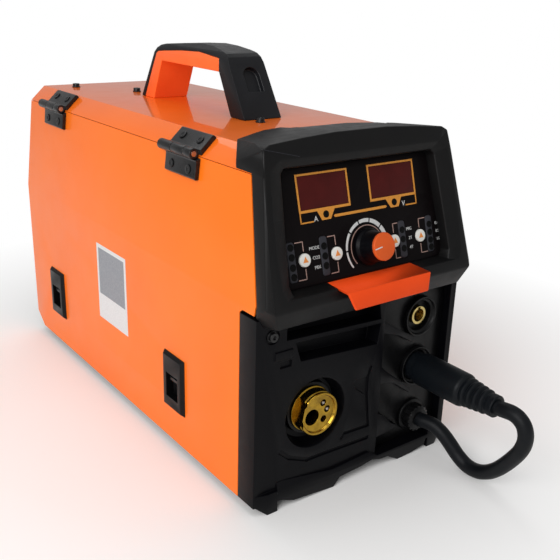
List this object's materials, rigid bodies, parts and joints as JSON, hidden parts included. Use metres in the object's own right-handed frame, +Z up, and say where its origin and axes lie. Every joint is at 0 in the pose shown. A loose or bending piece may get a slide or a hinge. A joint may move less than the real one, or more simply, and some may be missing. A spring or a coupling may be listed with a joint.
{
  "type": "mig welding machine",
  "caption": "Portable MIG welding machine with a hinged side door, wire feeder, leaning control panel, brass torch connector, cable sockets and a carrying handle",
  "frame": {"origin": "middle of the footprint at floor level, without the free cable and its plug", "axes": "+X to the right of someone who faces the control panel, +Y from the front to the rear, +Z up"},
  "size_m": [0.2296, 0.6237, 0.363],
  "materials": {
    "orange_sheet": "gloss orange enamel",
    "dark_sheet": "dark grey enamel",
    "bright_sheet": "zinc-plated sheet steel",
    "dark_moulding": "fine-textured dark grey moulding",
    "orange_moulding": "satin orange moulding",
    "button_white": "satin white",
    "window": "dark red display filter",
    "board": "glass-filled board with parts",
    "black_steel": "black finish on steel",
    "bright_steel": "bright steel",
    "brass": "polished turned brass",
    "rubber": "matt black rubber",
    "aluminium": "plain extruded aluminium",
    "copper_wire": "copper-coated welding wire",
    "windings": "enamelled copper and ferrite"
  },
  "bodies": {
    "cabinet": {"base_tray": "dark_sheet", "right_side_panel": "orange_sheet", "top_cover": "orange_sheet", "rear_panel": "dark_sheet", "centre_divider": "bright_sheet", "lower_bezel": "dark_moulding", "control_hood": "dark_moulding", "socket_plate": "dark_moulding", "control_panel": "dark_moulding", "display_windows": "window", "indicator_strips": "dark_moulding", "control_board": "board", "front_lip": "orange_moulding", "handle_shell": "dark_moulding", "handle_liner": "orange_moulding", "case_screws": "black_steel", "fixed_hinge_leaves": "black_steel", "hinge_pins": "bright_steel", "fixed_leaf_screws": "black_steel", "torch_connector": "brass", "torch_insulator": "dark_moulding", "socket_shells": "dark_moulding", "socket_contacts": "brass", "cable_gland": "dark_moulding", "polarity_plug": "rubber", "polarity_cable": "rubber", "spool_spindle": "dark_moulding", "spool_nut": "dark_moulding", "feeder_frame": "dark_moulding", "feed_motor": "black_steel", "fan_frame": "dark_moulding", "gas_valve": "bright_steel", "gas_inlet": "brass", "mains_gland": "dark_moulding", "switch_housing": "dark_moulding", "power_board": "board", "heatsink": "aluminium", "transformer": "windings", "output_choke": "windings", "rear_feet": "rubber"},
    "side_door": {"door_panel": "orange_sheet", "door_hinge_leaves": "black_steel", "door_leaf_screws": "black_steel", "latch_frames": "dark_moulding"},
    "front_latch": {"front_latch_bolt": "black_steel"},
    "rear_latch": {"rear_latch_bolt": "black_steel"},
    "wire_spool": {"spool_reel": "dark_moulding", "spool_winding": "copper_wire"},
    "drive_roll": {"drive_roll": "bright_steel"},
    "pressure_arm": {"pressure_arm": "black_steel"},
    "idler_roll": {"idler_roll": "bright_steel"},
    "tension_knob": {"tension_knob": "dark_moulding"},
    "fan": {"fan_rotor": "dark_moulding"},
    "power_switch": {"switch_rocker": "dark_moulding"},
    "encoder_knob": {"knob_skirt": "dark_moulding", "knob_cap": "orange_moulding"},
    "button_1": {"button_1": "button_white"},
    "button_2": {"button_2": "button_white"},
    "button_3": {"button_3": "button_white"},
    "button_4": {"button_4": "button_white"}
  },
  "joints": [
    {"name": "side_door_hinge", "type": "hinge", "parent": "cabinet", "child": "side_door", "pos_m": [-0.10581, 0, 0.28745], "axis": [0, 1, 0], "range_deg": [0, 110]},
    {"name": "front_latch_slide", "type": "slide", "parent": "side_door", "child": "front_latch", "axis": [0, 0, -1], "range_m": [0, 0.008]},
    {"name": "rear_latch_slide", "type": "slide", "parent": "side_door", "child": "rear_latch", "axis": [0, 0, -1], "range_m": [0, 0.008]},
    {"name": "spool_spin", "type": "hinge", "parent": "cabinet", "child": "wire_spool", "pos_m": [-0.0745, 0.0955, 0.15], "axis": [1, 0, 0], "continuous": true},
    {"name": "drive_roll_spin", "type": "hinge", "parent": "cabinet", "child": "drive_roll", "pos_m": [-0.0575, -0.1145, 0.0645], "axis": [1, 0, 0], "continuous": true},
    {"name": "pressure_arm_pivot", "type": "hinge", "parent": "cabinet", "child": "pressure_arm", "pos_m": [-0.049, -0.0685, 0.0915], "axis": [-1, 0, 0], "range_deg": [0, 3], "stiffness_Nm_per_rad": 4, "springref_deg": -11.46},
    {"name": "idler_spin", "type": "hinge", "parent": "pressure_arm", "child": "idler_roll", "pos_m": [-0.0575, -0.1145, 0.0915], "axis": [1, 0, 0], "continuous": true},
    {"name": "tension_knob_turn", "type": "hinge", "parent": "cabinet", "child": "tension_knob", "pos_m": [-0.0575, -0.1485, 0.125], "axis": [0, 0, 1], "continuous": true},
    {"name": "fan_spin", "type": "hinge", "parent": "cabinet", "child": "fan", "pos_m": [0.0602, 0.2295, 0.166], "axis": [0, 1, 0], "continuous": true},
    {"name": "power_switch_rock", "type": "hinge", "parent": "cabinet", "child": "power_switch", "pos_m": [0.06, 0.2395, 0.246], "axis": [1, 0, 0], "range_deg": [-20, 0]},
    {"name": "encoder_turn", "type": "hinge", "parent": "cabinet", "child": "encoder_knob", "pos_m": [0.002, -0.22921, 0.21698], "axis": [0, -0.9627, 0.2706], "continuous": true},
    {"name": "button_1_press", "type": "slide", "parent": "cabinet", "child": "button_1", "axis": [0, 0.9627, -0.2706], "range_m": [0, 0.0012], "stiffness_N_per_m": 600, "springref_m": -0.0005},
    {"name": "button_2_press", "type": "slide", "parent": "cabinet", "child": "button_2", "axis": [0, 0.9627, -0.2706], "range_m": [0, 0.0012], "stiffness_N_per_m": 600, "springref_m": -0.0005},
    {"name": "button_3_press", "type": "slide", "parent": "cabinet", "child": "button_3", "axis": [0, 0.9627, -0.2706], "range_m": [0, 0.0012], "stiffness_N_per_m": 600, "springref_m": -0.0005},
    {"name": "button_4_press", "type": "slide", "parent": "cabinet", "child": "button_4", "axis": [0, 0.9627, -0.2706], "range_m": [0, 0.0012], "stiffness_N_per_m": 600, "springref_m": -0.0005}
  ]
}
